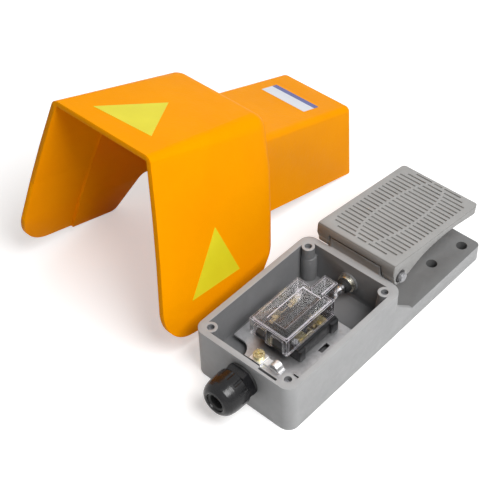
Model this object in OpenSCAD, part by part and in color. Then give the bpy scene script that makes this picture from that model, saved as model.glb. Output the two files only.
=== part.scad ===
// Industrial foot switch: cast box with a limit-switch insert, hinged pedal, push rod,
// cable gland and a guard hood that is also the lid of the box. The hood is taken off and
// stands beside the box, tipped back on its lid end.
// Frame: X across, +Y toward the pedal's free end, +Z up. The origin is the centre of the
// casting's underside. Modules measure y from the outside of the gland wall, and in_frame()
// moves them to the origin.

/* [Base casting] */
// width of the box and the plate
body_w = 88; // [80:1:100]
// length of the box, outside
box_l = 122.5; // [115:0.5:130]
// height of the rim of the box
box_h = 44; // [38:1:52]
// length of the whole casting
base_l = 223.7; // [205:0.1:245]
// height of the rear plate
plate_t = 13.4; // [10:0.1:18]
// thickness of the side walls
wall_side = 4.5; // [3:0.1:6]
// thickness of the rear wall
wall_rear = 5.2; // [4:0.1:7]
// thickness of the gland wall
wall_front = 4.5; // [3:0.1:6]
// height of the floor inside the box
floor_z = 12; // [8:0.5:14]
// thickness of the floor and of the top of the plate
floor_t = 4; // [3:0.5:6]
// outer corner radius of the box
corner_r = 8.5; // [5:0.5:12]
// corner radius at the rear of the plate
plate_corner_r = 5; // [2:0.5:10]
// radius of the mounting holes
mount_r = 4.25; // [3:0.05:5]
// half distance across the rear pair of mounting holes
mount_x1 = 33.6; // [28:0.1:36]
// position of the rear pair
mount_y1 = 212.7; // [200:0.1:216]
// half distance across the inner pair
mount_x2 = 27.7; // [20:0.1:34]
// position of the inner pair
mount_y2 = 182.4; // [170:0.1:195]
// inset of the four screw columns from the sides of the box
col_in = 9; // [8:0.1:12]
// radius of a screw column
col_r = 4.9; // [4:0.1:6]

/* [Hinge and pedal] */
// height of the hinge axis
pivot_z = 45.4; // [40:0.1:50]
// distance of the hinge axis behind the box
pivot_dy = 8.4; // [7.5:0.1:12]
// radius of the hinge pin
pin_r = 4; // [3:0.1:5]
// length of the hinge pin
pin_l = 76; // [70:1:84]
// radial play of the pedal on the pin
pin_play = 0.06; // [0.02:0.01:0.1]
// radius of the knuckles of the casting
knuckle_r = 7.2; // [6:0.1:9]
// half width of the knuckles, outside
knuckle_x = 22.6; // [18:0.1:26]
// half width of the slot between the knuckles
slot_x = 11.5; // [9:0.1:14]
// pedal width
pedal_w = 69.4; // [60:0.1:76]
// pedal length along its top
pedal_l = 106.2; // [95:0.1:115]
// height of the front edge of the pedal's top
pedal_z = 61; // [56:0.5:66]
// slope of the pedal's top at rest, down toward its free end
pedal_slope = 7.76; // [0:0.01:12]
// thickness of the pedal's top
pedal_t = 3.6; // [3:0.1:5]
// thickness of the pedal's side skirts
skirt_t = 3.6; // [3:0.1:5]
// distance between two tread grooves
tread_pitch = 4.53; // [4:0.01:6]
// width of a tread groove
tread_w = 1.7; // [1:0.1:2.5]
// depth of a tread groove
tread_d = 0.8; // [0.4:0.1:1.5]
// number of tread grooves
tread_n = 22; // [16:1:23]
// half width of the ribbed field
tread_x = 29.8; // [24:0.1:31]
// half width of the middle column of the tread
lane_x = 14.5; // [10:0.1:18]
// width of the two smooth lanes
lane_w = 1.9; // [1:0.1:3]

/* [Push rod] */
// height of the rod's axis
rod_z = 27; // [24:0.5:30]
// radius of the push rod
rod_r = 3.5; // [3:0.1:4.5]
// radial play of the rod in its bushing
rod_play = 0.05; // [0.02:0.01:0.1]
// radius of the bushing
bush_r = 6; // [5:0.1:7]

/* [Switch insert] */
// height of the top of the mounting plate
shelf_z = 18; // [16:0.5:20]
// thickness of the mounting plate
shelf_t = 1.5; // [1:0.1:2.5]
// height of the black base of the insert
sw_base_h = 10.7; // [9:0.1:13]
// height of the clear cover
sw_cover_h = 16.3; // [14:0.1:19]
// wall of the clear cover
sw_wall = 1.4; // [1:0.1:2]

/* [Cable gland] */
// sideways position of the gland
gland_x = 2; // [-4:0.5:4]
// height of the gland's axis
gland_z = 26; // [22:0.5:27]
// radius of the gland's thread
gland_r = 10; // [8:0.1:11]
// radius of the cable hole
cable_r = 5.6; // [4:0.1:6.5]

/* [Hood] */
// thickness of the hood's walls
hood_t = 4; // [3:0.1:5]
// length of the hood, lid end to mouth
hood_l = 254; // [240:1:270]
// height of the lid end above the rim of the box
lid_h = 58; // [50:0.5:70]
// how much higher the lid's top is at the guard
lid_rise = 7.5; // [0:0.5:12]
// half width of the lid's top
lid_top_x = 36; // [30:0.5:40]
// corner radius of the lid's top
lid_r = 5.5; // [5:0.5:9]
// overhang of the lid at the rim of the box
lid_over = 1.5; // [0.5:0.1:2]
// height of the guard's top above the rim, at the mouth
guard_h = 97; // [85:1:105]
// half width of the guard's top at the mouth
guard_top_x = 48.5; // [42:0.5:55]
// half width of the guard at the floor, at the mouth
guard_foot_x = 81; // [65:0.5:84]
// outward bulge of the guard's side walls
guard_bulge = 2; // [0:0.1:6]
// corner radius of the guard's mouth
mouth_r = 5.5; // [5:0.5:9]
// how much lower the guard's top is at its back
guard_fall = 6; // [0:0.5:15]
// back of the guard
guard_y = 127; // [126:0.5:135]
// corner radius at the back of the guard
guard_r = 9; // [8:0.5:20]
// where the side walls become thinner toward the mouth
guard_step_y = 198; // [160:1:230]
// how far the hood stands to the left of the base
hood_dx = 137; // [134:1:180]
// position of the hood's lower lid edge
hood_y = 236.5; // [200:0.5:260]
// how far the hood is tipped back
hood_tip = 15.35; // [10:0.05:20]
// gap under the hood's side walls when it sits on the box
foot_gap = 0.5; // [0:0.1:3]
// how far the mouth leans back from the guard's top to its feet
mouth_lean = 3.5; // [0:0.5:8]
// radius of the side walls' lower front corners
foot_r1 = 29; // [10:1:36]
// radius of their lower rear corners, on which the tipped hood rests
foot_r2 = 8; // [4:0.5:12]
// slope of the cut between those corners and the guard's back
foot_cut = 57; // [40:1:75]

/* [Hidden] */

$fn = 48;
hx = body_w / 2;
pivot_y = box_l + pivot_dy;
col_x = hx - col_in;
col_y1 = corner_r;
col_y2 = box_l - 10;
shelf_lo = shelf_z - shelf_t;
ped_y0 = pivot_y - 8.1;
// hinge axis seen from the pedal's own front edge
piv_s = (pivot_y - ped_y0) * cos(pedal_slope) + (pedal_z - pivot_z) * sin(pedal_slope);
piv_n = (pivot_y - ped_y0) * sin(pedal_slope) - (pedal_z - pivot_z) * cos(pedal_slope);
hub_r = 6.6;
ear_r = 6.9;
ear_x = knuckle_x + 1.4;
recess_r = 5.3;
recess_d = 3;
lug_y = pivot_y + 1.6;
wall_out = box_l + 1.3;
rod_in = 105;
rod_out = lug_y - 0.3;
// the bushing reaches this far into the box from the outside of the rear wall
bush_reach = 9.5;
bush_in = box_l - bush_reach;
spring_y = 160;
spring_r = 4;
sw_x0 = -20.5;
sw_x1 = 13.8;
sw_y0 = 32;
sw_y1 = 83.2;
sw_top = shelf_z + sw_base_h + sw_cover_h;
sw_mid = shelf_z + sw_base_h;
neck_x0 = -7;
neck_x1 = 5;
neck_y1 = 97.5;
chamber_y0 = 56;
chamber_y1 = 71;
bridge_y = 66.2;
bridge_t = 1.2;
m5_r = 2.5;
// depth of the dropped hood screws under the rim of the box
screw_low = 3;
// boss around the bushing on the inside of the rear wall
boss_r = 8;
boss_t = 1.7;
guard_n = 4;
// the rear feet touch the floor together with the lid's lower edge
foot_y = (foot_r2 - lid_over * sin(hood_tip)
    - (foot_gap + foot_r2 - box_h) * cos(hood_tip)) / sin(hood_tip);

// moves a piece from the gland wall's datum to the origin of the frame
module in_frame() {
    translate([0, -base_l / 2, 0]) children();
}

// ---- small building blocks -------------------------------------------------------

module block(x0, x1, y0, y1, z0, z1) {
    translate([x0, y0, z0]) cube([x1 - x0, y1 - y0, z1 - z0]);
}

module rod_y(x, z, r, y0, y1, n = 48) {
    translate([x, y0, z]) rotate([-90, 0, 0]) cylinder(r = r, h = y1 - y0, $fn = n);
}

module rod_x(y, z, r, x0, x1, n = 48) {
    translate([x0, y, z]) rotate([0, 90, 0]) cylinder(r = r, h = x1 - x0, $fn = n);
}

module rod_z(x, y, r, z0, z1, n = 48) {
    translate([x, y, z0]) cylinder(r = r, h = z1 - z0, $fn = n);
}

// rectangle with rounded corners, r1 at the low y side and r2 at the high y side
module round_rect(x0, x1, y0, y1, r1, r2) {
    union() {
        translate([x0 + r1, y0]) square([x1 - x0 - 2 * r1, r1 + 0.01]);
        translate([x0, y0 + r1]) square([x1 - x0, y1 - y0 - r1 - r2]);
        translate([x0 + r2, y1 - r2 - 0.01]) square([x1 - x0 - 2 * r2, r2 + 0.01]);
        for (x = [x0 + r1, x1 - r1]) translate([x, y0 + r1]) circle(r = r1);
        for (x = [x0 + r2, x1 - r2]) translate([x, y1 - r2]) circle(r = r2);
    }
}

// side profile (y, z) drawn in 2D and extruded along X
module side_prism(x0, x1) {
    translate([x0, 0, 0]) rotate([90, 0, 90]) linear_extrude(x1 - x0) children();
}

// pan-head screw along -Z: the head stands on z
module pan_screw(x, y, z, r, head_r, head_h, len) {
    difference() {
        union() {
            rod_z(x, y, head_r, z, z + head_h, 32);
            rod_z(x, y, r, z - len, z + 0.01, 32);
        }
        for (a = [45, 135]) translate([x, y, z + head_h]) rotate([0, 0, a])
            cube([head_r * 1.25, head_r * 0.25, head_h], center = true);
    }
}

// coil spring along +Z: wire wr, mean radius r, height h, n turns
module coil(r, wr, h, n) {
    translate([0, 0, wr]) linear_extrude(h - 2 * wr, twist = -360 * n, slices = 16 * n,
        $fn = 6)
        translate([r, 0]) circle(r = wr, $fn = 6);
    for (z = [0, h - 2 * wr]) translate([0, 0, z]) rotate_extrude($fn = 32)
        translate([r, wr]) circle(r = wr, $fn = 16);
}

// ---- base casting ----------------------------------------------------------------

module base_casting() {
    color([0.66, 0.66, 0.67]) difference() {
        union() {
            linear_extrude(box_h) round_rect(-hx, hx, 0, box_l, corner_r, corner_r);
            linear_extrude(plate_t)
                round_rect(-hx, hx, box_l - 12, base_l, 1, plate_corner_r);
            // hinge block behind the rear wall, with a thin panel across its front
            block(-knuckle_x, knuckle_x, box_l - 1.5, wall_out, plate_t - 1, box_h + 8.6);
            for (s = [-1, 1]) {
                side_prism(s > 0 ? slot_x : -knuckle_x, s > 0 ? knuckle_x : -slot_x)
                    union() {
                        translate([pivot_y, pivot_z]) circle(r = knuckle_r);
                        polygon([[box_l - 1, plate_t - 1], [pivot_y + 11, plate_t - 1],
                            [pivot_y + knuckle_r, pivot_z - 4],
                            [pivot_y + knuckle_r, pivot_z],
                            [pivot_y, pivot_z + knuckle_r], [box_l - 1, box_h + 8.6]]);
                    }
                // gusset on each side, from the rear wall down to the plate
                side_prism(s > 0 ? hx - 3.5 : -hx, s > 0 ? hx : -hx + 3.5)
                    polygon([[box_l - 9, plate_t - 1], [box_l + 15, plate_t - 1],
                        [box_l + 14.5, plate_t], [box_l - 1, 27], [box_l - 9, 27]]);
            }
        }
        // inside of the box
        translate([0, 0, floor_z]) linear_extrude(box_h) union() {
            difference() {
                round_rect(-hx + wall_side, hx - wall_side, wall_front,
                    box_l - wall_rear, 4, 4);
                for (x = [-col_x, col_x], y = [col_y1, col_y2])
                    translate([x, y]) circle(r = col_r);
                for (s = [-1, 1]) {
                    translate([s > 0 ? col_x : -hx, 0]) square([col_in, col_y1]);
                    translate([s > 0 ? col_x : -hx, col_y2]) square([col_in, 12]);
                }
            }
        }
        // underside pockets
        for (q = [[4, box_l - 4, floor_z - floor_t], [box_l + 4, base_l - 4,
                plate_t - floor_t]])
            translate([0, 0, -1]) linear_extrude(q[2] + 1) difference() {
                round_rect(-hx + 4, hx - 4, q[0], q[1], 4, 4);
                for (x = [-col_x, col_x], y = [col_y1, col_y2])
                    translate([x, y]) circle(r = 7.2);
                for (s = [-1, 1]) {
                    translate([s * mount_x1, mount_y1]) circle(r = 8);
                    translate([s * mount_x2, mount_y2]) circle(r = 8);
                    translate([s > 0 ? mount_x1 : -hx, mount_y1 - 4])
                        square([hx - mount_x1, 12]);
                }
                translate([-1.5, q[0] - 1]) square([3, q[1] - q[0] + 2]);
                translate([-hx, (q[0] + q[1]) / 2 - 1.5]) square([body_w, 3]);
            }
        // holes of the mounting bolts
        for (s = [-1, 1]) {
            rod_z(s * mount_x1, mount_y1, mount_r, -1, plate_t + 1);
            rod_z(s * mount_x2, mount_y2, mount_r, -1, plate_t + 1);
        }
        // through holes of the hood screws, counterbored from below
        for (x = [-col_x, col_x], y = [col_y1, col_y2]) {
            rod_z(x, y, m5_r + 0.25, -1, box_h + 1, 32);
            rod_z(x, y, 5, -1, 5.5, 32);
        }
        // slot for the pedal's lug and the hinge pin bore
        block(-slot_x, slot_x, wall_out, base_l, plate_t, box_h + 20);
        rod_x(pivot_y, pivot_z, pin_r + 0.01, -knuckle_x - 1, knuckle_x + 1);
        // shallow panel on the front of the hinge block
        block(-knuckle_x + 1.6, knuckle_x - 1.6, box_l - 2, box_l + 0.4, box_h,
            box_h + 6.8);
        block(-knuckle_x - 1, knuckle_x + 1, box_l - 2, box_l, box_h, box_h + 12);
        rod_y(0, rod_z, bush_r + 0.02, box_l - 12, wall_out + 1);
        rod_y(gland_x, gland_z, gland_r + 0.1, -1, wall_front + 1);
    }
    color([0.66, 0.66, 0.67]) difference() {
        // posts under the mounting plate and the seat of the pedal spring
        union() {
            for (p = plate_posts) rod_z(p[0], p[1], 4, floor_z - 1, shelf_lo, 32);
            rod_z(0, spring_y, 2.9, plate_t - 1, plate_t + 2.5, 32);
            rod_y(0, rod_z, boss_r, box_l - wall_rear - boss_t, box_l - wall_rear + 1);
        }
        rod_y(0, rod_z, bush_r + 0.02, box_l - 12, box_l);
        for (p = plate_posts) rod_z(p[0], p[1], p[2] + 0.02, floor_z, shelf_z + 1, 32);
    }
}

earth_pos = [-5.8, 25];
plate_posts = [[-29, 78, 2], [33, 30, 2], [33, 78, 2], [earth_pos[0], earth_pos[1], 2.5]];

// ---- hinge and pedal ---------------------------------------------------------------

module hinge_pin() {
    color([0.85, 0.85, 0.86]) difference() {
        union() {
            rod_x(pivot_y, pivot_z, pin_r, -pin_l / 2 + 0.8, pin_l / 2 - 0.8);
            rod_x(pivot_y, pivot_z, pin_r - 0.7, -pin_l / 2, pin_l / 2);
        }
        for (s = [-1, 1])
            translate([s * clip_x, pivot_y, pivot_z]) rotate([0, 90, 0]) difference() {
                cylinder(r = pin_r + 1, h = 1, center = true, $fn = 48);
                cylinder(r = pin_r - 0.6, h = 2, center = true, $fn = 48);
            }
    }
}

clip_x = pedal_w / 2 - recess_d + 0.5;

module pin_clips() {
    color([0.3, 0.3, 0.32]) for (s = [-1, 1])
        translate([s * clip_x, pivot_y, pivot_z]) rotate([0, 90, 0]) difference() {
            cylinder(r = pin_r + 0.9, h = 0.9, center = true, $fn = 48);
            cylinder(r = pin_r - 0.6, h = 2, center = true, $fn = 48);
            translate([-20, 0, 0]) cube([40, 3.2, 4], center = true);
        }
}

// side profile of the pedal, in its own frame: s along the top, n up from it
module pedal_side() {
    union() {
        polygon([[0, -2.2], [0.7, -0.7], [2.2, 0], [pedal_l - 1.5, 0],
            [pedal_l - 0.4, -0.4], [pedal_l, -1.5], [pedal_l, -7.3], [99, -7.1],
            [89, -6.3], [81, -5.6], [73, -5.2], [64, -5.4], [56, -6], [48.6, -7],
            [43, -8.1], [38.8, -9.2], [33.5, -11], [29.2, -13], [25.5, -15],
            [21.5, -17.4], [piv_s + 5.9, piv_n - 3.6], [piv_s, piv_n],
            [piv_s - ear_r, piv_n], [0.5, -9]]);
        translate([piv_s, piv_n]) circle(r = ear_r);
    }
}

module pedal_frame() {
    translate([0, ped_y0, pedal_z]) rotate([-pedal_slope, 0, 0]) children();
}

module tread_grooves() {
    s_mid = 54.5;
    for (i = [0:tread_n - 1]) {
        s = 7.1 + i * tread_pitch;
        e = (s - s_mid) / 50.5;
        lane = lane_x * sqrt(max(0.04, 1 - e * e));
        cut = s < 13 ? 13 - s : s > 93 ? (s - 93) * 0.8 : 0;
        edge = tread_x - cut * 1.25;
        for (q = [[-edge, -lane - lane_w / 2], [-lane + lane_w / 2,
                lane - lane_w / 2], [lane + lane_w / 2, edge]])
            block(q[0], q[1], s - tread_w / 2, s + tread_w / 2, -tread_d, 1);
    }
}

module pedal() {
    pw = pedal_w / 2;
    color([0.68, 0.68, 0.67]) difference() {
        union() {
            pedal_frame() difference() {
                // side profile times the rounded plan shape
                intersection() {
                    side_prism(-pw, pw) pedal_side();
                    translate([0, 0, -40]) linear_extrude(60)
                        round_rect(-pw, pw, -3, pedal_l, 2.5, 4.5);
                }
                // hollow underneath, between the skirts and behind the ears
                block(-pw + skirt_t, pw - skirt_t, piv_s + ear_r + 3.5,
                    pedal_l - 4, -40, -pedal_t);
                block(-ear_x, ear_x, 3, piv_s + ear_r + 4, -40, -pedal_t);
                block(-ear_x, ear_x, -1, 4, -40, -6.3);
                tread_grooves();
            }
            // lug: hub round the pin, web up to the top, arm down to the rod
            rod_x(pivot_y, pivot_z, hub_r, -7, 7);
            block(-7, 7, pivot_y - 2, lug_y + 5.5, pivot_z, pedal_z - 5);
            block(-7, 7, lug_y, lug_y + 5.5, rod_z - 7, pivot_z);
            // two long ribs and the seat of the spring under the top
            pedal_frame() {
                for (s = [-1, 1])
                    block(s * 14 - 1.5, s * 14 + 1.5, 20, pedal_l - 3, -5, -2.5);
                translate([0, (spring_y - ped_y0) / cos(pedal_slope), -5])
                    cylinder(r = 2.9, h = 3);
            }
        }
        rod_x(pivot_y, pivot_z, pin_r + pin_play, -pw - 1, pw + 1);
        for (s = [-1, 1]) rod_x(pivot_y, pivot_z, recess_r,
            s > 0 ? pw - recess_d : -pw - 1, s > 0 ? pw + 1 : -pw + recess_d);
    }
}

module pedal_spring() {
    top = pedal_z - pedal_t - (spring_y - ped_y0) * sin(pedal_slope) - 1.2;
    color([0.6, 0.6, 0.62]) translate([0, spring_y, plate_t])
        coil(spring_r, 0.7, top - plate_t, 7);
}

// ---- push rod ----------------------------------------------------------------------

module push_rod() {
    color([0.86, 0.86, 0.88]) union() {
        rod_y(0, rod_z, rod_r, rod_in + 0.6, rod_out - rod_r);
        rod_y(0, rod_z, rod_r - 0.6, rod_in, rod_in + 1);
        translate([0, rod_out - rod_r, rod_z]) sphere(r = rod_r, $fn = 40);
    }
}

module rod_bushing() {
    color([0.75, 0.62, 0.33]) difference() {
        union() {
            rod_y(0, rod_z, bush_r, bush_in, wall_out);
            rod_y(0, rod_z, bush_r + 1.5, wall_out, wall_out + 1.2);
        }
        rod_y(0, rod_z, rod_r + rod_play, bush_in - 1, wall_out + 3);
    }
}

module bushing_nut() {
    seat = box_l - wall_rear - boss_t;
    color([0.78, 0.66, 0.36]) difference() {
        rod_y(0, rod_z, boss_r - 0.8, bush_in + 0.6, seat);
        rod_y(0, rod_z, bush_r + 0.02, bush_in, seat + 1);
    }
}

module rod_seal() {
    color([0.06, 0.06, 0.06]) translate([0, bush_in, rod_z]) rotate([90, 0, 0])
        rotate_extrude($fn = 48) polygon([[rod_r + 0.02, 0], [bush_r, 0], [bush_r, 1.2],
            [bush_r - 0.8, 1.8], [bush_r - 0.3, 2.6], [bush_r - 1.2, 3.6],
            [rod_r + 0.02, 3.6]]);
}

// ---- plate and limit-switch insert ---------------------------------------------------

module mounting_plate() {
    color([0.72, 0.72, 0.73]) difference() {
        translate([0, 0, shelf_lo]) linear_extrude(shelf_t) difference() {
            polygon([[-34.5, 30.2], [-34.5, 88.3], [38.5, 88.3], [38.5, 16], [27, 16],
                [27, 12.5], [-16, 12.5], [-16, 20.1], [-16.6, 23], [-18, 26],
                [-20.5, 28.6], [-24, 30.2]]);
            translate([-0.5, 17.8]) square([16.5, 1.4]);
            translate([20.2, 57.8]) square([3.6, 9.2]);
            translate([21.5, 29.6]) square([5.5, 1.2]);
            translate([27.2, 83.4]) square([1.4, 6]);
        }
        for (p = plate_posts) rod_z(p[0], p[1], p[2] + 0.25, shelf_lo - 1, shelf_z + 1, 32);
        for (p = sw_screw_pos) rod_z(p[0], p[1], 1.6, shelf_lo - 1, shelf_z + 1, 24);
    }
}

module plate_screws() {
    color([0.72, 0.68, 0.5]) for (i = [0:2])
        pan_screw(plate_posts[i][0], plate_posts[i][1], shelf_z, 2, 3.8, 2.4, 5.4);
}

sw_screw_pos = [[-16.4, 79.2], [9.6, 45.2]];
// terminals: x, y, and the inner end of the contact strip
terms = [[-13.8, 52], [-13.8, 72.4], [9.4, 52], [9.4, 72.4]];

module switch_base() {
    color([0.07, 0.07, 0.075]) difference() {
        union() {
            block(-22.5, 16, 41, sw_y1, shelf_z, sw_mid);
            block(sw_x0 + sw_wall + 0.4, sw_x1 - sw_wall - 0.4, sw_y0 + 3, 42, sw_mid - 3,
                sw_mid);
            block(neck_x0 + 1.8, neck_x1 - 1.8, sw_y1 - 1, neck_y1 - 1.8, shelf_z, 32.5);
            for (q = [[14, 18.4, 41, 47.5], [14, 18.4, 75.5, sw_y1],
                    [-25, -20, 41, 47.5], [-25, -20, 75.5, sw_y1]])
                translate([0, 0, shelf_z]) linear_extrude(sw_base_h - 1)
                    round_rect(q[0], q[1], q[2], q[3], 1.5, 1.5);
            block(-9, 5.2, 43, 81, sw_mid - 1, 38);
        }
        // contact chamber, open toward both rows of terminals
        block(-16.6, 12, chamber_y0, chamber_y1, 22.5, 32.5);
        block(-6.6, 6.6 - 3, chamber_y0 + 1, chamber_y1 - 1, 32, 39);
        rod_y(0, rod_z, 2.06, 44.2, 90);
        rod_y(0, rod_z, 3.06, 86, neck_y1 + 1);
        for (p = sw_screw_pos) rod_z(p[0], p[1], 1.6, shelf_z - 1, sw_mid + 1, 24);
        for (p = terms) rod_z(p[0], p[1], 1.5, shelf_z + 4, sw_mid + 1, 24);
    }
}

module cover_outline(e) {
    union() {
        translate([sw_x0 + e, sw_y0 + e])
            square([sw_x1 - sw_x0 - 2 * e, sw_y1 - sw_y0 - 2 * e]);
        translate([neck_x0 + e, sw_y1 - 5])
            square([neck_x1 - neck_x0 - 2 * e, neck_y1 - sw_y1 + 5 - e]);
    }
}

module switch_cover() {
    color([0.82, 0.8, 0.86, 0.35]) difference() {
        union() {
            difference() {
                translate([0, 0, sw_mid]) linear_extrude(sw_cover_h) cover_outline(0);
                translate([0, 0, sw_mid - 1]) linear_extrude(sw_cover_h + 1 - sw_wall)
                    cover_outline(sw_wall);
                // shallow window frame moulded into the top
                block(-11, 5.5, 40, 78, sw_top - 0.6, sw_top + 1);
                // stepped edge of the top
                translate([0, 0, sw_top - 0.8]) linear_extrude(2) difference() {
                    cover_outline(-1);
                    cover_outline(1.7);
                }
            }
            // bead along the lower edge and a corner pillar
            block(sw_x0, sw_x0 + 3, sw_y0, sw_y0 + 3, sw_mid, sw_top - 0.5);
            block(sw_x1 - 3, sw_x1, sw_y0, sw_y0 + 3, sw_mid, sw_top - 0.5);
        }
        rod_y(0, rod_z, 3.3, 84, neck_y1 + 1);
        // two wire ways in the wall at the gland end
        for (x = [sw_x0 + 4.4, sw_x1 - 14.4])
            block(x, x + 10, sw_y0 - 1, sw_y0 + sw_wall + 0.1, sw_mid - 1, sw_top - 4.4);
    }
}

module switch_plunger() {
    color([0.8, 0.8, 0.82]) union() {
        rod_y(0, rod_z, 2, 48.5, 89, 32);
        rod_y(0, rod_z, 3, 91.5, 101, 32);
        rod_y(0, rod_z, 2, 88, 92, 32);
        rod_y(0, rod_z, 2.4, 101, rod_in, 32);
        rod_y(0, rod_z, 2.9, bridge_y + bridge_t + 0.02, bridge_y + bridge_t + 1.6, 32);
    }
}

module contact_bridge() {
    color([0.8, 0.62, 0.3]) difference() {
        union() {
            block(-10.4, 10.4, bridge_y, bridge_y + bridge_t, rod_z - 2.5, rod_z + 2.5);
            for (s = [-1, 1]) rod_y(s * 8.8, rod_z, 1.5, bridge_y - 0.5,
                bridge_y + bridge_t + 0.5, 24);
        }
        rod_y(0, rod_z, 2.01, bridge_y - 1, bridge_y + bridge_t + 1, 32);
    }
}

module contact_spring() {
    color([0.7, 0.7, 0.72]) translate([0, chamber_y0, rod_z]) rotate([-90, 0, 0])
        coil(2.8, 0.35, bridge_y - chamber_y0, 5);
}

module fixed_contacts() {
    nc = bridge_y + bridge_t + 0.5;
    no = bridge_y - 0.5 - 3.75;
    color([0.8, 0.64, 0.32]) for (i = [0:3]) {
        p = terms[i];
        rear = p[1] > bridge_y;
        s = p[0] < 0 ? -1 : 1;
        y0 = rear ? nc : no - 1.2;
        difference() {
            union() {
                // lug under the screw, on the top of the base
                block(p[0] - 3.2, min(p[0] + 3.2, sw_x1 - sw_wall - 0.3), p[1] - 4,
                    p[1] + 4, sw_mid, sw_mid + 1.2);
                // strip along the base to the chamber, and the blade in the chamber
                block(s * 12 - 1, s * 12 + 1 - (s > 0 ? 1.1 : 0), min(y0, p[1] - 4),
                    max(y0 + 1.2, p[1] + 4), sw_mid, sw_mid + 1.2);
                block(s > 0 ? 7.3 : -13, s > 0 ? 11.9 : -7.3, y0, y0 + 1.2, rod_z - 2,
                    sw_mid + 1.2);
            }
            rod_z(p[0], p[1], 1.75, sw_mid - 1, sw_mid + 2, 24);
        }
    }
}

module terminal_screws() {
    color([0.84, 0.78, 0.5]) for (p = terms)
        pan_screw(p[0], p[1], sw_mid + 1.2, 1.48, 2.7, 2.2, 6);
}

module switch_screws() {
    color([0.75, 0.75, 0.76]) for (p = sw_screw_pos)
        pan_screw(p[0], p[1], sw_mid, 1.5, 2.5, 2, sw_base_h + shelf_t + 1.5);
}

module cover_panel() {
    color([0.16, 0.16, 0.17]) block(-8.2, 4.6, 44, 80, 38, 38.8);
}

module earth_screw() {
    color([0.75, 0.72, 0.42])
        pan_screw(earth_pos[0], earth_pos[1], shelf_z + 2.4, 2.5, 4.3, 3.2, 7.8);
}

module earth_washer() {
    color([0.86, 0.86, 0.8]) difference() {
        translate([earth_pos[0], earth_pos[1], shelf_z + 1.2])
            cube([10, 10, 2.4], center = true);
        rod_z(earth_pos[0], earth_pos[1], 2.7, shelf_z - 1, shelf_z + 4, 32);
    }
}

// bright strap of the earth terminal: flat foot with an arch for the earth wire
module earth_clamp() {
    x0 = earth_pos[0] + 5.2;
    y0 = earth_pos[1] - 1.5;
    y1 = earth_pos[1] + 4.5;
    color([0.9, 0.9, 0.9]) union() {
        block(x0, x0 + 15, y0, y1, shelf_z, shelf_z + 1);
        intersection() {
            difference() {
                rod_y(x0 + 9.2, shelf_z + 0.6, 4.6, y0, y1);
                rod_y(x0 + 9.2, shelf_z + 0.6, 3.6, y0 - 1, y1 + 1);
            }
            block(x0, x0 + 15, y0, y1, shelf_z, shelf_z + 8);
        }
    }
}

// ---- cable gland --------------------------------------------------------------------

module gland_body() {
    color([0.12, 0.12, 0.13]) difference() {
        union() {
            rod_y(gland_x, gland_z, 14.6, -8, -1.8, 6);
            rod_y(gland_x, gland_z, gland_r, -1.9, wall_front + 6);
            rod_y(gland_x, gland_z, 11.2, -17, -7.9);
        }
        rod_y(gland_x, gland_z, 7.4, -12, wall_front + 7);
        rod_y(gland_x, gland_z, 8.9, -18, -11.9);
    }
}

module gland_washer() {
    color([0.05, 0.05, 0.05]) difference() {
        rod_y(gland_x, gland_z, 13.2, -1.8, 0);
        rod_y(gland_x, gland_z, gland_r + 0.02, -3, 1);
    }
}

module gland_locknut() {
    color([0.14, 0.14, 0.15]) difference() {
        rod_y(gland_x, gland_z, 13.8, wall_front, wall_front + 4.5, 6);
        rod_y(gland_x, gland_z, gland_r + 0.02, wall_front - 1, wall_front + 6);
    }
}

module gland_dome() {
    color([0.11, 0.11, 0.12]) difference() {
        translate([gland_x, 0, gland_z]) rotate([90, 0, 0]) rotate_extrude($fn = 72)
            polygon([[11.24, 8.3], [14.1, 8.3], [14.3, 9], [14.3, 14], [14.2, 18],
                [13.8, 21.5], [13.1, 24.5], [11.8, 26.8], [10, 28.3], [8.6, 28.6],
                [7.6, 28.2], [7.2, 27], [7.2, 25.4], [9.1, 23.2], [9.1, 17.4],
                [11.24, 17.4]]);
        for (a = [0:30:330]) translate([gland_x, -7.2, gland_z]) rotate([90, a, 0])
            translate([15.1, 0, 0]) cylinder(r = 1.5, h = 9, $fn = 16);
    }
}

module gland_seal() {
    color([0.04, 0.04, 0.04]) difference() {
        translate([gland_x, 0, gland_z]) rotate([90, 0, 0]) rotate_extrude($fn = 48)
            polygon([[cable_r, 12], [8.6, 12], [8.88, 13], [8.88, 23.1], [7.15, 25.2],
                [7.15, 27.2], [cable_r, 26.6]]);
    }
}

// ---- hood ----------------------------------------------------------------------------

// The hood is drawn as it sits on the box (lid end at y = 0) and then set down beside it.
module hood_place() {
    translate([-hood_dx, hood_y, lid_over * sin(hood_tip)]) rotate([-hood_tip, 0, 0])
        rotate([0, 0, 180]) translate([0, 0, -box_h]) children();
}

// one ball of a rounded body: centre inset from the faces by its own radius
module ball(x, y, z, r, e) {
    translate([x, y, z]) sphere(r = r - e, $fn = 32);
}

module lid_body(e) {
    low_r = lid_r + 2;
    top_z = box_h + lid_h - lid_r;
    // the shell runs on into the guard's back wall
    hull() for (s = [-1, 1]) {
        for (y = [low_r - lid_over, guard_y + hood_t])
            translate([s * (hx + lid_over - low_r), y, box_h - 6])
                cylinder(r = low_r - e, h = 6, $fn = 32);
        ball(s * (lid_top_x - lid_r), lid_r + 5.5, top_z, lid_r, e);
        ball(s * (lid_top_x - lid_r + 1), guard_y + hood_t, top_z + lid_rise, lid_r, e);
    }
}

// centre of the i-th ball of a side wall: the wall bulges slightly between top and foot
function wall_pt(i, top_x, foot_x, top_z, r) =
    let (t = i / guard_n)
    [top_x + (foot_x - top_x) * t + 4 * guard_bulge * t * (1 - t) - r,
        (top_z - r) * (1 - t) - 6 * t];

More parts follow.
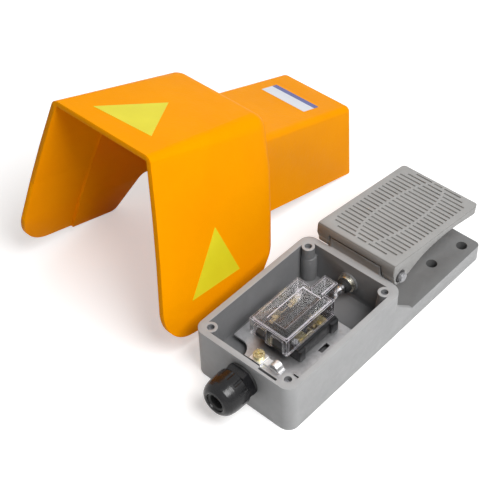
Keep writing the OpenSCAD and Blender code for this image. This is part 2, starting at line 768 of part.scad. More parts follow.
// guard_in draws the walls in by this much on each side
module guard_body(e, guard_in = 0) {
    zt = box_h + guard_h;
    hull() for (s = [-1, 1], i = [0:guard_n]) {
        m = wall_pt(i, guard_top_x, guard_foot_x, zt, mouth_r);
        translate([s * (m[0] - guard_in), hood_l + 10, m[1]]) rotate([90, 0, 0])
            cylinder(r = mouth_r - e, h = 1, $fn = 32);
        b = wall_pt(i, guard_top_x - 1, guard_foot_x - 2, zt - guard_fall, guard_r);
        ball(s * (b[0] - guard_in), guard_y + guard_r, b[1], guard_r, e);
    }
}

// side outline of the hood: rim line of the lid, cut and rounded feet, leaning mouth
module hood_side() {
    mouth_y = hood_l - mouth_lean;
    cut_y = foot_y - foot_r2 * sin(foot_cut);
    cut_z = foot_gap + foot_r2 * (1 - cos(foot_cut));
    union() {
        polygon([[-20, box_h], [guard_y, box_h],
            [guard_y, cut_z + (cut_y - guard_y) * tan(foot_cut)], [cut_y, cut_z],
            [foot_y, foot_gap + foot_r2], [foot_y, foot_gap],
            [mouth_y - foot_r1, foot_gap], [mouth_y - foot_r1, foot_gap + foot_r1],
            [mouth_y, foot_gap + foot_r1], [hood_l, box_h + guard_h],
            [hood_l, box_h + 120], [-20, box_h + 120]]);
        translate([foot_y, foot_gap + foot_r2]) circle(r = foot_r2, $fn = 96);
        translate([mouth_y - foot_r1, foot_gap + foot_r1]) circle(r = foot_r1, $fn = 96);
    }
}

module hood_shape(e) {
    difference() {
        union() {
            guard_body(e);
            lid_body(e);
        }
        translate([-100, hood_l, -50]) cube([200, 60, 300]);
    }
}

module hood() {
    color([0.96, 0.6, 0.02]) hood_place() difference() {
        union() {
            difference() {
                intersection() {
                    hood_shape(0);
                    side_prism(-100, 100) hood_side();
                }
                // hollow of the guard: its walls are thicker toward the back
                guard_body(hood_t, 2.5);
                intersection() {
                    guard_body(hood_t);
                    block(-100, 100, guard_step_y, hood_l + 20, -60, 300);
                }
                // hollow of the lid, closed by a partition over the box's rear wall
                difference() {
                    lid_body(hood_t);
                    block(-100, 100, box_l - wall_rear, box_l - 1, 0, 300);
                }
                // way out for the casting's plate and hinge
                block(-hx - 2, hx + 2, box_l - 1, guard_y + 16, -20, box_h + 0.3);
            }
            // threaded posts for the four hood screws
            intersection() {
                for (x = [-col_x, col_x], y = [col_y1, col_y2])
                    rod_z(x, y, col_r, box_h, box_h + 24, 32);
                hood_shape(0.5);
            }
        }
        for (x = [-col_x, col_x], y = [col_y1, col_y2])
            rod_z(x, y, 2.1, box_h - 1, box_h + 14, 24);
    }
}

module hood_screws() {
    color([0.76, 0.72, 0.42]) for (x = [-col_x, col_x], y = [col_y1, col_y2])
        difference() {
            union() {
                rod_z(x, y, m5_r, 5.4, box_h - screw_low, 32);
                rod_z(x, y, 4.4, 1, 5.5, 32);
            }
            translate([x, y, 0]) cylinder(r = 2.3, h = 3.2, $fn = 6);
        }
}

// thin skins that lie on the faces of the hood
module warning_stickers() {
    color([0.95, 0.88, 0.1]) hood_place() difference() {
        intersection() {
            guard_body(-0.25);
            union() {
                translate([0, hood_l, box_h + 60]) linear_extrude(60)
                    polygon([[25.6, -17.6], [4.6, -70.6], [-26.1, -22.4]]);
                side_prism(-100, -40) translate([hood_l, box_h])
                    polygon([[-58.8, 29.4], [-84.7, -12], [-33.4, -17.2]]);
            }
        }
        guard_body(0);
    }
}

module rating_label() {
    color([0.92, 0.93, 0.96]) hood_place() difference() {
        intersection() {
            lid_body(-0.2);
            translate([0, 0, box_h + 40]) linear_extrude(60)
                polygon([[22, 34], [-22, 34], [-22, 53], [22, 53]]);
        }
        lid_body(0);
    }
}

// ---- one line per node ---------------------------------------------------------------

in_frame() base_casting();
in_frame() hinge_pin();
in_frame() pin_clips();
in_frame() pedal();
in_frame() pedal_spring();
in_frame() push_rod();
in_frame() rod_bushing();
in_frame() bushing_nut();
in_frame() rod_seal();
in_frame() mounting_plate();
in_frame() plate_screws();
in_frame() switch_base();
in_frame() switch_cover();
in_frame() switch_plunger();
in_frame() contact_bridge();
in_frame() contact_spring();
in_frame() fixed_contacts();
in_frame() terminal_screws();
in_frame() switch_screws();
in_frame() cover_panel();
in_frame() earth_screw();
in_frame() earth_washer();
in_frame() earth_clamp();
in_frame() gland_body();
in_frame() gland_washer();
in_frame() gland_locknut();
in_frame() gland_dome();
in_frame() gland_seal();
in_frame() hood();
in_frame() hood_screws();
in_frame() warning_stickers();
in_frame() rating_label();
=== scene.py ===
import math

import bpy
from mathutils import Matrix, Quaternion, Vector


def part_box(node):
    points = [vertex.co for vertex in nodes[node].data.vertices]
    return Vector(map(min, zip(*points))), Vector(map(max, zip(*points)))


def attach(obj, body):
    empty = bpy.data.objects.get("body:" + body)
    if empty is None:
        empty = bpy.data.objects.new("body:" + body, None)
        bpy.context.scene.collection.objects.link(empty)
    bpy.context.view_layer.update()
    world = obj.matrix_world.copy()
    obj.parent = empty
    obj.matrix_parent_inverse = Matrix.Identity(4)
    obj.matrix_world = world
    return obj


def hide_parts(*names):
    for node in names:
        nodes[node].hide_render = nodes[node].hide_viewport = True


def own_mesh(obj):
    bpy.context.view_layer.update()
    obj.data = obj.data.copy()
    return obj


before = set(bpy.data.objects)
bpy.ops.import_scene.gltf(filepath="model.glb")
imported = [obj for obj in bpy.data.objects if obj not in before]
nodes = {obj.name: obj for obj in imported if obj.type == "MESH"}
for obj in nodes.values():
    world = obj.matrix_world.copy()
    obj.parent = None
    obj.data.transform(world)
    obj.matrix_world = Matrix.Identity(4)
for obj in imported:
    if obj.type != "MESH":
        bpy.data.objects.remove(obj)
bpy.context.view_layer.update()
bpy.ops.object.select_all(action="DESELECT")


# ---- Cast box with its plate ---------------------------------------------------------
# The base is one pressure die casting in aluminium: the switch box, the plate behind it
# and the knuckles of the hinge. It is deburred, shot blasted and painted grey, so every
# outer edge is slightly round and the paint has a fine grain.

def finish(name, colour, roughness, metallic=0.0, specular=0.5):
    """A new material; what is the same all over it is set on the shader itself."""
    made = bpy.data.materials.new(name)
    made.use_nodes = True
    shader = made.node_tree.nodes["Principled BSDF"]
    shader.inputs["Base Color"].default_value = (*colour, 1)
    shader.inputs["Roughness"].default_value = roughness
    shader.inputs["Metallic"].default_value = metallic
    shader.inputs["Specular IOR Level"].default_value = specular
    return made


def grain(made, per_metre, detail=4.0, rough=0.5, stretch=(1, 1, 1)):
    """Noise on the piece's own coordinates; stretch draws its marks out into lines."""
    tree = made.node_tree
    place = tree.nodes.new("ShaderNodeTexCoord")
    scale = tree.nodes.new("ShaderNodeMapping")
    scale.inputs["Scale"].default_value = stretch
    noise = tree.nodes.new("ShaderNodeTexNoise")
    noise.inputs["Scale"].default_value = per_metre
    noise.inputs["Detail"].default_value = detail
    noise.inputs["Roughness"].default_value = rough
    tree.links.new(place.outputs["Object"], scale.inputs["Vector"])
    tree.links.new(scale.outputs["Vector"], noise.inputs["Vector"])
    return noise.outputs["Fac"]


def spread(made, value, low, high):
    """The middle of a noise carried to the range low..high."""
    tree = made.node_tree
    node = tree.nodes.new("ShaderNodeMapRange")
    node.inputs["From Min"].default_value = 0.3
    node.inputs["From Max"].default_value = 0.7
    node.inputs["To Min"].default_value = low
    node.inputs["To Max"].default_value = high
    tree.links.new(value, node.inputs["Value"])
    return node.outputs["Result"]


def vary_colour(made, value, colours):
    """Colours laid out evenly along the noise."""
    tree = made.node_tree
    ramp = tree.nodes.new("ShaderNodeValToRGB")
    while len(ramp.color_ramp.elements) < len(colours):
        ramp.color_ramp.elements.new(0.5)
    for i, colour in enumerate(colours):
        ramp.color_ramp.elements[i].position = 0.3 + 0.4 * i / (len(colours) - 1)
        ramp.color_ramp.elements[i].color = (*colour, 1)
    tree.links.new(value, ramp.inputs["Fac"])
    tree.links.new(ramp.outputs["Color"], tree.nodes["Principled BSDF"].inputs["Base Color"])


def vary_gloss(made, value, low, high):
    """Roughness between low and high along the noise."""
    gloss = made.node_tree.nodes["Principled BSDF"].inputs["Roughness"]
    made.node_tree.links.new(spread(made, value, low, high), gloss)


def relief(made, value, height, edge=0.0):
    """Bump of the given height in metres; edge rounds the sharp edges of the piece."""
    tree = made.node_tree
    bump = tree.nodes.new("ShaderNodeBump")
    bump.inputs["Distance"].default_value = height
    tree.links.new(value, bump.inputs["Height"])
    if edge:
        round_off = tree.nodes.new("ShaderNodeBevel")
        round_off.samples = 4
        round_off.inputs["Radius"].default_value = edge
        tree.links.new(round_off.outputs["Normal"], bump.inputs["Normal"])
    tree.links.new(bump.outputs["Normal"], tree.nodes["Principled BSDF"].inputs["Normal"])


def zone(made, low, high):
    """1 inside the block between two corners, 0 outside it."""
    tree = made.node_tree
    place = tree.nodes.new("ShaderNodeTexCoord")
    split = tree.nodes.new("ShaderNodeSeparateXYZ")
    tree.links.new(place.outputs["Object"], split.inputs["Vector"])
    held = None
    for axis in range(3):
        within = tree.nodes.new("ShaderNodeMath")
        within.operation = "COMPARE"
        tree.links.new(split.outputs[axis], within.inputs[0])
        within.inputs[1].default_value = (low[axis] + high[axis]) / 2
        within.inputs[2].default_value = (high[axis] - low[axis]) / 2
        if held is None:
            held = within.outputs["Value"]
            continue
        both = tree.nodes.new("ShaderNodeMath")
        both.operation = "MULTIPLY"
        tree.links.new(held, both.inputs[0])
        tree.links.new(within.outputs["Value"], both.inputs[1])
        held = both.outputs["Value"]
    return held


def shade(made, mask, tone):
    """The base colour multiplied by the tone where the mask is 1."""
    tree = made.node_tree
    colour = tree.nodes["Principled BSDF"].inputs["Base Color"]
    mix = tree.nodes.new("ShaderNodeMix")
    mix.data_type = "RGBA"
    mix.blend_type = "MULTIPLY"
    tree.links.new(mask, mix.inputs["Factor"])
    tree.links.new(colour.links[0].from_socket, mix.inputs[6])
    mix.inputs[7].default_value = (*tone, 1)
    tree.links.new(mix.outputs[2], colour)


def coat(piece, made):
    """The material on the whole piece, in every one of its slots."""
    if not piece.material_slots:
        piece.data.materials.append(made)
    for held in piece.material_slots:
        held.material = made


def fair(node, name, body, width, sharp=35, edge_slot=-1, reshape=None):
    """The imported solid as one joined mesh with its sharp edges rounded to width."""
    weld = 0.000002
    made = bpy.data.objects.new(name, nodes[node].data.copy())
    bpy.context.collection.objects.link(made)
    bpy.ops.object.select_all(action="DESELECT")
    made.select_set(True)
    bpy.context.view_layer.objects.active = made
    bpy.ops.object.mode_set(mode="EDIT")
    bpy.ops.mesh.select_all(action="SELECT")
    bpy.ops.mesh.remove_doubles(threshold=weld)
    bpy.ops.object.mode_set(mode="OBJECT")
    if reshape:
        reshape(made)
    if width:
        edge = made.modifiers.new("edge", "BEVEL")
        edge.width = width
        edge.segments = 2
        edge.limit_method = "ANGLE"
        edge.angle_limit = math.radians(sharp)
        edge.use_clamp_overlap = True
        edge.material = edge_slot
        bpy.ops.object.modifier_apply(modifier="edge")
    bpy.ops.object.shade_smooth_by_angle(angle=math.radians(sharp))
    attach(made, body)
    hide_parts(node)
    return made


cast_grey = (0.385, 0.387, 0.39)
cast_paint = finish("cast_grey_paint", cast_grey, 0.5, specular=0.3)
vary_colour(cast_paint, grain(cast_paint, 60, 6, 0.65),
    [(0.36, 0.362, 0.366), cast_grey, (0.41, 0.412, 0.415)])
vary_gloss(cast_paint, grain(cast_paint, 260, 3), 0.42, 0.6)
relief(cast_paint, grain(cast_paint, 1400, 3), 0.00008)
# painted shade: the inside of the box is made darker
box_inside_shade = ((-0.0411, -0.1089, 0.0095), (0.0411, 0.008, 0.0436))
shade(cast_paint, zone(cast_paint, *box_inside_shade), (0.38, 0.38, 0.385))
# painted shade under the pedal: the top of the plate is made darker
plate_top_shade = ((-0.0436, 0.012, 0.0128), (0.0436, 0.1115, 0.0136))
shade(cast_paint, zone(cast_paint, *plate_top_shade), (0.45, 0.45, 0.445))
# painted shade under the pedal: the hinge block is made darker
hinge_block_shade = ((-0.0238, 0.0098, 0.0446), (0.0238, 0.034, 0.0535))
shade(cast_paint, zone(cast_paint, *hinge_block_shade), (0.62, 0.615, 0.61))
# painted shade: the bores of the fixing holes are darkened, from their lower rim to the plate's
# top
hole_reach = 0.0046
hole_bottom, hole_top = 0.0004, 0.0131
for side in (-1, 1):
    for across, along in ((0.0336, 0.10085), (0.0277, 0.07055)):
        low = (side * across - hole_reach, along - hole_reach, hole_bottom)
        high = (side * across + hole_reach, along + hole_reach, hole_top)
        shade(cast_paint, zone(cast_paint, low, high), (0.3, 0.3, 0.3))


def rim_slot(box):
    """The narrow slot in the top of the front wall, over the gland."""
    slot_middle = (0.0217, -0.1089, 0.0435)
    slot_size = (0.0162, 0.0019, 0.011)
    bpy.ops.mesh.primitive_cube_add(size=1, location=slot_middle)
    cutter = bpy.context.active_object
    bpy.ops.object.mode_set(mode="EDIT")
    bpy.ops.transform.resize(value=slot_size)
    bpy.ops.mesh.bevel(offset=0.0005, segments=2, affect="EDGES")
    bpy.ops.object.mode_set(mode="OBJECT")
    cut = box.modifiers.new("slot", "BOOLEAN")
    cut.object = cutter
    cut.solver = "EXACT"
    bpy.ops.object.select_all(action="DESELECT")
    box.select_set(True)
    bpy.context.view_layer.objects.active = box
    bpy.ops.object.modifier_apply(modifier="slot")
    bpy.data.objects.remove(cutter)


edge_round = 0.0007
cast_box = fair("base_casting", "cast_box", "base", edge_round, reshape=rim_slot)
coat(cast_box, cast_paint)

# ---- Feet of the two rear screw columns ----------------------------------------------
# The two rear columns that take the hood's screws are thicker in their lower part. They
# are cast in one with the box, so they have its paint, and a small shoulder on top.
foot_radius = 0.0061
foot_height = 0.0215
foot_across, foot_along, foot_middle = 0.035, 0.00165, 0.02275
for side, where in ((-1, "left"), (1, "right")):
    bpy.ops.mesh.primitive_cylinder_add(vertices=64, radius=foot_radius, depth=foot_height,
        location=(side * foot_across, foot_along, foot_middle))
    foot = bpy.context.active_object
    foot.name = "column_foot_" + where
    bpy.ops.object.mode_set(mode="EDIT")
    bpy.ops.mesh.select_all(action="DESELECT")
    bpy.ops.object.mode_set(mode="OBJECT")
    for face in foot.data.polygons:
        face.select = face.normal.z > 0.9
    bpy.ops.object.mode_set(mode="EDIT")
    bpy.ops.mesh.select_mode(type="FACE")
    for inset, rise in ((0.0005, 0.0007), (0.0008, 0.0003)):
        bpy.ops.mesh.inset(thickness=inset)
        bpy.ops.transform.translate(value=(0, 0, rise))
    bpy.ops.object.mode_set(mode="OBJECT")
    bpy.ops.object.transform_apply(location=True, rotation=True, scale=True)
    bpy.ops.object.shade_smooth_by_angle(angle=math.radians(50))
    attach(foot, "base")
    coat(foot, cast_paint)

# ---- Pedal ---------------------------------------------------------------------------
# The pedal is a thin-walled casting of the same alloy with a grooved tread. Its paint is
# a little warmer than the box's, and painted shade darkens its grooves and its front skirt.
pedal_grey = (0.34, 0.336, 0.328)
pedal_paint = finish("pedal_grey_paint", pedal_grey, 0.5, specular=0.3)
vary_colour(pedal_paint, grain(pedal_paint, 55, 6, 0.65),
    [(0.315, 0.311, 0.303), pedal_grey, (0.365, 0.36, 0.352)])
vary_gloss(pedal_paint, grain(pedal_paint, 240, 3), 0.42, 0.6)
relief(pedal_paint, grain(pedal_paint, 1400, 3), 0.00008)
# painted shade lies in the grooves, measured down from the sloping plane of the tread
slope = math.radians(7.76)
tread_top = 0.06192
groove_shade_starts, groove_shade_full, groove_shade_ends = 0.0002, 0.0006, 0.0009
tree = pedal_paint.node_tree
place = tree.nodes.new("ShaderNodeTexCoord")
over = tree.nodes.new("ShaderNodeVectorMath")
over.operation = "DOT_PRODUCT"
over.inputs[1].default_value = (0, math.sin(slope), math.cos(slope))
deep = tree.nodes.new("ShaderNodeMapRange")
deep.inputs["From Min"].default_value = tread_top - groove_shade_starts
deep.inputs["From Max"].default_value = tread_top - groove_shade_full
groove = tree.nodes.new("ShaderNodeMath")
groove.operation = "MULTIPLY"
groove_floor = tree.nodes.new("ShaderNodeMath")
groove_floor.operation = "GREATER_THAN"
groove_floor.inputs[1].default_value = tread_top - groove_shade_ends
tree.links.new(place.outputs["Object"], over.inputs[0])
tree.links.new(over.outputs["Value"], deep.inputs["Value"])
tree.links.new(over.outputs["Value"], groove_floor.inputs[0])
tree.links.new(deep.outputs["Result"], groove.inputs[0])
tree.links.new(groove_floor.outputs["Value"], groove.inputs[1])
shade(pedal_paint, groove.outputs["Value"], (0.56, 0.555, 0.54))
# painted shade: the front skirt, close to the box, is made greyer
skirt_depth = 0.0014
low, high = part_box("pedal")
skirt = ((low.x, low.y - 0.001, low.z), (high.x, low.y + skirt_depth, high.z))
shade(pedal_paint, zone(pedal_paint, *skirt), (0.62, 0.61, 0.6))
pedal_casting = fair("pedal", "pedal_casting", "pedal", 0.0002)
coat(pedal_casting, pedal_paint)

# ---- Hinge pin and its clips ---------------------------------------------------------
# A drawn steel pin goes through the ears of the pedal and the knuckles of the base. A
# blackened spring-steel ring in the recess of each ear keeps it in.

def metal(name, colour, rough, lines=(1, 1, 1)):
    """Bare or plated metal; lines draws out the fine marks that its making leaves."""
    made = finish(name, colour, rough, 1.0)
    darker = tuple(0.86 * c for c in colour)
    lighter = tuple(min(1, 1.08 * c) for c in colour)
    vary_colour(made, grain(made, 300, 4), [darker, colour, lighter])
    vary_gloss(made, grain(made, 500, 3, 0.5, lines), rough * 0.75, rough * 1.3)
    relief(made, grain(made, 900, 2, 0.5, lines), 0.00003, 0.00025)
    return made


coat(nodes["hinge_pin"], metal("pin_steel", (0.34, 0.34, 0.35), 0.4))
coat(nodes["pin_clips"], metal("black_steel", (0.12, 0.12, 0.13), 0.35))

# ---- Return spring of the pedal ------------------------------------------------------
# A compression spring wound from bright spring wire stands on the plate and lifts the
# pedal. The real spring shortens as the pedal goes down; this one keeps its imported shape.
spring_steel = metal("spring_steel", (0.55, 0.55, 0.57), 0.28)
return_spring = fair("pedal_spring", "return_spring", "base", 0)
coat(return_spring, spring_steel)
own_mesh(return_spring)

# ---- Push rod and its guide ----------------------------------------------------------
# The pedal's lug works a ground and chromed rod. It slides in a nickel-plated brass
# bushing that a nut holds in the rear wall, and a rubber ring keeps water out.
chrome = metal("chrome", (0.86, 0.86, 0.88), 0.1, (1, 8, 1))
coat(nodes["push_rod"], chrome)
nickel = metal("nickel_on_brass", (0.8, 0.77, 0.68), 0.28)
for name in ("rod_bushing", "bushing_nut"):
    coat(nodes[name], nickel)

rubber_black = (0.014, 0.014, 0.014)
rubber = finish("black_rubber", rubber_black, 0.65)
vary_colour(rubber, grain(rubber, 200, 4),
    [(0.010, 0.010, 0.010), rubber_black, (0.022, 0.022, 0.021)])
relief(rubber, grain(rubber, 1200, 3), 0.00008, 0.0003)
coat(nodes["rod_seal"], rubber)

# ---- Mounting plate of the switch ----------------------------------------------------
# The plate is stamped from rolled steel sheet, with the lines of the rolling along it. It
# stands on posts cast up from the floor of the box, under three yellow-passivated screws.
rolled_sheet = metal("rolled_sheet", (0.5, 0.5, 0.51), 0.42, (1, 12, 1))
coat(nodes["mounting_plate"], rolled_sheet)
yellow_zinc = metal("yellow_zinc", (0.6, 0.53, 0.3), 0.3)
coat(nodes["plate_screws"], yellow_zinc)

# ---- Base and panel of the limit switch ----------------------------------------------
# The switch has a base and a panel injection moulded in black plastic. Two zinc-plated
# screws hold it on its plate, and a steel plunger meets the push rod.
mould_black = (0.012, 0.012, 0.013)
black_mould = finish("black_moulding", mould_black, 0.45, specular=0.35)
vary_colour(black_mould, grain(black_mould, 90, 4),
    [(0.01, 0.01, 0.011), mould_black, (0.016, 0.016, 0.018)])
vary_gloss(black_mould, grain(black_mould, 300, 3), 0.33, 0.5)
relief(black_mould, grain(black_mould, 220, 1), 0.00001)
for node, name in (("switch_base", "black_insert"), ("cover_panel", "insert_panel")):
    coat(fair(node, name, "base", 0.00025), black_mould)
bright_zinc = metal("bright_zinc", (0.86, 0.86, 0.88), 0.28)
for name in ("switch_plunger", "switch_screws"):
    coat(nodes[name], bright_zinc)

# ---- Contacts ------------------------------------------------------------------------
# Four fixed contacts and the moving bridge are stamped from brass strip. A small steel
# spring pushes the bridge back, and a screw clamps the wire at each fixed contact.
brass = metal("brass", (0.95, 0.77, 0.42), 0.36)
for name in ("contact_bridge", "fixed_contacts"):
    coat(nodes[name], brass)
coat(nodes["terminal_screws"], yellow_zinc)
bridge_spring = fair("contact_spring", "bridge_spring", "base", 0)
coat(bridge_spring, spring_steel)
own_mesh(bridge_spring)

# ---- Clear cover of the limit switch -------------------------------------------------
# The cover is injection moulded in clear plastic with a faint violet tint and snaps over
# the base. Its rounded edges get a paler, less clear material: partly real milkiness, partly a
# painted highlight.
clear_tint = (0.985, 0.975, 1.0)
clear = finish("clear_cover", clear_tint, 0.0)
vary_colour(clear, grain(clear, 120, 3), [(0.96, 0.95, 0.99), clear_tint, (1.0, 0.99, 1.0)])
vary_gloss(clear, grain(clear, 160, 3), 0.0, 0.02)
shader = clear.node_tree.nodes["Principled BSDF"]
shader.inputs["Transmission Weight"].default_value = 1.0
shader.inputs["IOR"].default_value = 1.45
shader.inputs["Alpha"].default_value = 0.45
# the paler edge material is partly a painted highlight along the rounded edges
milky_highlight_tint = (0.9, 0.87, 0.95)
milky = finish("milky_highlight_edge", milky_highlight_tint, 0.2)
vary_colour(milky, grain(milky, 400, 3), [(0.8, 0.77, 0.86), milky_highlight_tint, (0.96, 0.94, 0.98)])
vary_gloss(milky, grain(milky, 160, 3), 0.12, 0.28)
milky.node_tree.nodes["Principled BSDF"].inputs["Alpha"].default_value = 0.75
# the second slot is for the faces that the bevel makes
nodes["switch_cover"].data.materials.append(milky)
cover = fair("switch_cover", "clear_cover", "base", 0.00042, edge_slot=1)
cover.material_slots[0].material = clear
cover.material_slots[1].material = milky

# ---- Earth terminal ------------------------------------------------------------------
# The earth wire goes under a screw in the mounting plate. The screw is zinc-plated and
# yellow-passivated, and its washer and its bent clamp are matt zinc.
coat(nodes["earth_screw"], yellow_zinc)
white_zinc = metal("white_zinc", (0.9, 0.9, 0.9), 0.45)
for name in ("earth_washer", "earth_clamp"):
    coat(nodes[name], white_zinc)

# ---- Cable gland ---------------------------------------------------------------------
# A polyamide gland with a rubber sleeve: the body screws into the box wall, the ribbed
# dome nut squeezes the sleeve on the cable. The nylon has a soft gloss.
nylon_black = (0.006, 0.006, 0.007)
nylon = finish("black_nylon", nylon_black, 0.22, specular=0.35)
vary_colour(nylon, grain(nylon, 120, 4),
    [(0.004, 0.004, 0.005), nylon_black, (0.009, 0.009, 0.01)])
vary_gloss(nylon, grain(nylon, 350, 3), 0.18, 0.3)
relief(nylon, grain(nylon, 1500, 2), 0.00004, 0.0005)
for name in ("gland_body", "gland_dome", "gland_locknut"):
    coat(nodes[name], nylon)
for name in ("gland_washer", "gland_seal"):
    coat(nodes[name], rubber)

# ---- Guard hood ----------------------------------------------------------------------
# The hood is one casting that closes the box and shields the foot, with satin orange
# enamel baked on. The enamel shows a fine orange-peel surface.
orange = (0.94, 0.33, 0.0)
enamel = finish("orange_enamel", orange, 0.4, specular=0.02)
warm_gloss = (1, 0.6, 0.15, 1)
enamel.node_tree.nodes["Principled BSDF"].inputs["Specular Tint"].default_value = warm_gloss
vary_colour(enamel, grain(enamel, 14, 4, 0.6), [(0.92, 0.315, 0.0), orange, (0.96, 0.345, 0.0)])
vary_gloss(enamel, grain(enamel, 120, 3), 0.36, 0.46)
relief(enamel, grain(enamel, 420, 2), 0.0002)


def soften_guard(shell):
    """The two upper rear corners of the guard, inside and out, brought to a wide curve."""
    middle = -0.137
    cast_radius, wide_radius = 0.009, 0.014
    outer_ball = (Vector((0.0385, 0.015208, 0.115473)), cast_radius)
    inner_ball = (Vector((0.036, 0.015208, 0.115473)), 0.005)
    on_ball = 0.00003
    # the corner lies where the side wall, the rear wall and the top come together
    side_normal, rear_normal = (0.962, 0.098, 0.256), (0, 0.964, -0.265)
    roof = [f for f in shell.data.polygons if abs(f.center.x - middle) < 0.03
        and f.normal.z > 0.5 and f.center.z > 0.115]
    roof_normal = tuple(max(roof, key=lambda f: f.area).normal)
    planes = Matrix((side_normal, rear_normal, roof_normal))
    inward = planes.inverted() @ Vector((1, 1, 1))
    growth = wide_radius - cast_radius
    for vertex in shell.data.vertices:
        side = 1 if vertex.co.x > middle else -1
        place = Vector((side * (vertex.co.x - middle), vertex.co.y, vertex.co.z))
        for centre, radius in (outer_ball, inner_ball):
            ray = place - centre
            if abs(ray.length - radius) < on_ball:
                grown = centre - growth * inward + (radius + growth) * ray.normalized()
                vertex.co = (side * grown.x + middle, grown.y, grown.z)
                break


guard_hood = fair("hood", "guard_hood", "hood", 0.0009, sharp=40, reshape=soften_guard)
coat(guard_hood, enamel)

# ---- Hood screws ---------------------------------------------------------------------
# Four long machine screws with dull zinc hold the hood. They go up through the corner
# columns of the box and stay in them when the hood is off.
coat(nodes["hood_screws"], metal("dull_zinc", (0.42, 0.42, 0.44), 0.3))

# ---- Foils on the hood ---------------------------------------------------------------
# Plain foils without any print: two yellow triangles and a white plate field with a blue
# band, cut from glossy vinyl and pressed onto the enamel.
foil_yellow = (0.76, 0.67, 0.02)
yellow_foil = finish("yellow_foil", foil_yellow, 0.28, specular=0.15)
vary_colour(yellow_foil, grain(yellow_foil, 40, 4),
    [(0.73, 0.64, 0.018), foil_yellow, (0.79, 0.7, 0.025)])
relief(yellow_foil, grain(yellow_foil, 130, 2), 0.00006)
coat(nodes["warning_stickers"], yellow_foil)

foil_white = (0.68, 0.7, 0.76)
white_foil = finish("white_foil", foil_white, 0.3, specular=0.3)
vary_colour(white_foil, grain(white_foil, 60, 4),
    [(0.65, 0.67, 0.73), foil_white, (0.71, 0.73, 0.78)])
relief(white_foil, grain(white_foil, 130, 2), 0.00005)
band_width = 0.0055
low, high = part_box("rating_label")
band = ((low.x, high.y - band_width, low.z), (high.x, high.y, high.z + 0.01))
shade(white_foil, zone(white_foil, *band), (0.13, 0.15, 0.42))
coat(nodes["rating_label"], white_foil)

# ---- Floor, light and camera ---------------------------------------------------------
# A pale floor that looks white to the camera and in reflections, and keeps the shadow
# of the parts. A large soft lamp hangs high on the right, and a weak one behind the
# parts fills their far sides.
floor_width = 30
bpy.ops.mesh.primitive_plane_add(size=floor_width, location=(0, 0, 0))
floor = bpy.context.active_object
floor.name = "studio_floor"


def seen_only(tree):
    """1 for rays from the camera, in gloss and through glass, 0 for the rest."""
    path = tree.nodes.new("ShaderNodeLightPath")
    first = tree.nodes.new("ShaderNodeMath")
    second = tree.nodes.new("ShaderNodeMath")
    first.operation = second.operation = "MAXIMUM"
    tree.links.new(path.outputs["Is Camera Ray"], first.inputs[0])
    tree.links.new(path.outputs["Is Glossy Ray"], first.inputs[1])
    tree.links.new(first.outputs["Value"], second.inputs[0])
    tree.links.new(path.outputs["Is Transmission Ray"], second.inputs[1])
    return second.outputs["Value"]


floor_paint = bpy.data.materials.new("studio_white")
floor_paint.use_nodes = True
tree = floor_paint.node_tree
tree.nodes.remove(tree.nodes["Principled BSDF"])
plain = tree.nodes.new("ShaderNodeBsdfDiffuse")
plain.inputs["Color"].default_value = (0.75, 0.75, 0.75, 1)
lifted = tree.nodes.new("ShaderNodeAddShader")
glow = tree.nodes.new("ShaderNodeEmission")
# the glow rises away from the parts, and there is none under the fixing holes
glow_near, glow_far = 0.47, 1.0
rise_starts, rise_ends = 0.3, 1.3
under_holes = ((-0.0385, 0.065, -1), (0.0385, 0.1065, 1))
place = tree.nodes.new("ShaderNodeTexCoord")
away = tree.nodes.new("ShaderNodeVectorMath")
away.operation = "LENGTH"
rise = tree.nodes.new("ShaderNodeMapRange")
rise.inputs["From Min"].default_value = rise_starts
rise.inputs["From Max"].default_value = rise_ends
rise.inputs["To Min"].default_value = glow_near
rise.inputs["To Max"].default_value = glow_far
under = tree.nodes.new("ShaderNodeMath")
under.operation = "SUBTRACT"
under.use_clamp = True
tree.links.new(place.outputs["Object"], away.inputs[0])
tree.links.new(away.outputs["Value"], rise.inputs["Value"])
tree.links.new(rise.outputs["Result"], under.inputs[0])
tree.links.new(zone(floor_paint, *under_holes), under.inputs[1])
tree.links.new(under.outputs["Value"], glow.inputs["Strength"])
chosen = tree.nodes.new("ShaderNodeMixShader")
tree.links.new(plain.outputs["BSDF"], lifted.inputs[0])
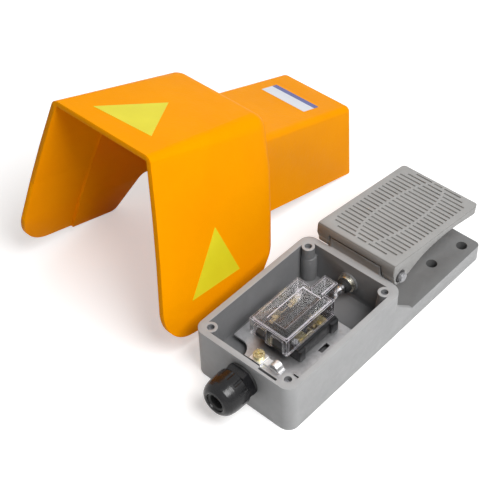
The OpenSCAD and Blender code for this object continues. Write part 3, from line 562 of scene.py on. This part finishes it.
tree.links.new(glow.outputs["Emission"], lifted.inputs[1])
tree.links.new(seen_only(tree), chosen.inputs["Fac"])
tree.links.new(plain.outputs["BSDF"], chosen.inputs[1])
tree.links.new(lifted.outputs["Shader"], chosen.inputs[2])
tree.links.new(chosen.outputs["Shader"], tree.nodes["Material Output"].inputs["Surface"])
floor.data.materials.append(floor_paint)

world = bpy.data.worlds.new("studio")
bpy.context.scene.world = world
world.use_nodes = True
tree = world.node_tree
sky = tree.nodes["Background"]
sky.inputs["Color"].default_value = (1, 1, 1, 1)
strength = tree.nodes.new("ShaderNodeMapRange")
strength.inputs["To Min"].default_value = 0.15
strength.inputs["To Max"].default_value = 1.0
tree.links.new(seen_only(tree), strength.inputs["Value"])
tree.links.new(strength.outputs["Result"], sky.inputs["Strength"])


def lamp(name, spot, aim, width, power):
    """A square soft lamp at the spot, turned to the aim."""
    bpy.ops.object.light_add(type="AREA", location=spot)
    made = bpy.context.active_object
    made.name = name
    made.data.size = width
    made.data.energy = power
    made.rotation_mode = "QUATERNION"
    made.rotation_quaternion = (Vector(aim) - Vector(spot)).to_track_quat("-Z", "Y")
    return made


between_parts = (-0.08, 0, 0.04)
lamp("key_lamp", (0.78, -0.1, 1.27), between_parts, 0.8, 24)
fill = lamp("fill_lamp", (-1.0, 0.75, 0.65), between_parts, 1.2, 5.5)
fill.visible_glossy = False
fill.visible_transmission = False

focal_length = 89.68
distance = 0.97003
azimuth, elevation, roll = math.radians(43.25), math.radians(45.07), math.radians(-1.78)
look = Vector((-0.09461, 0.00177, 0))
back = Vector((math.sin(azimuth) * math.cos(elevation),
    -math.cos(azimuth) * math.cos(elevation), math.sin(elevation)))
bpy.ops.object.camera_add(location=look + back * distance)
camera = bpy.context.active_object
camera.data.lens = focal_length
camera.data.sensor_width = 36
camera.rotation_mode = "QUATERNION"
camera.rotation_quaternion = Quaternion(back, roll) @ (-back).to_track_quat("-Z", "Y")
bpy.context.scene.camera = camera
bpy.context.scene.view_settings.view_transform = "Standard"
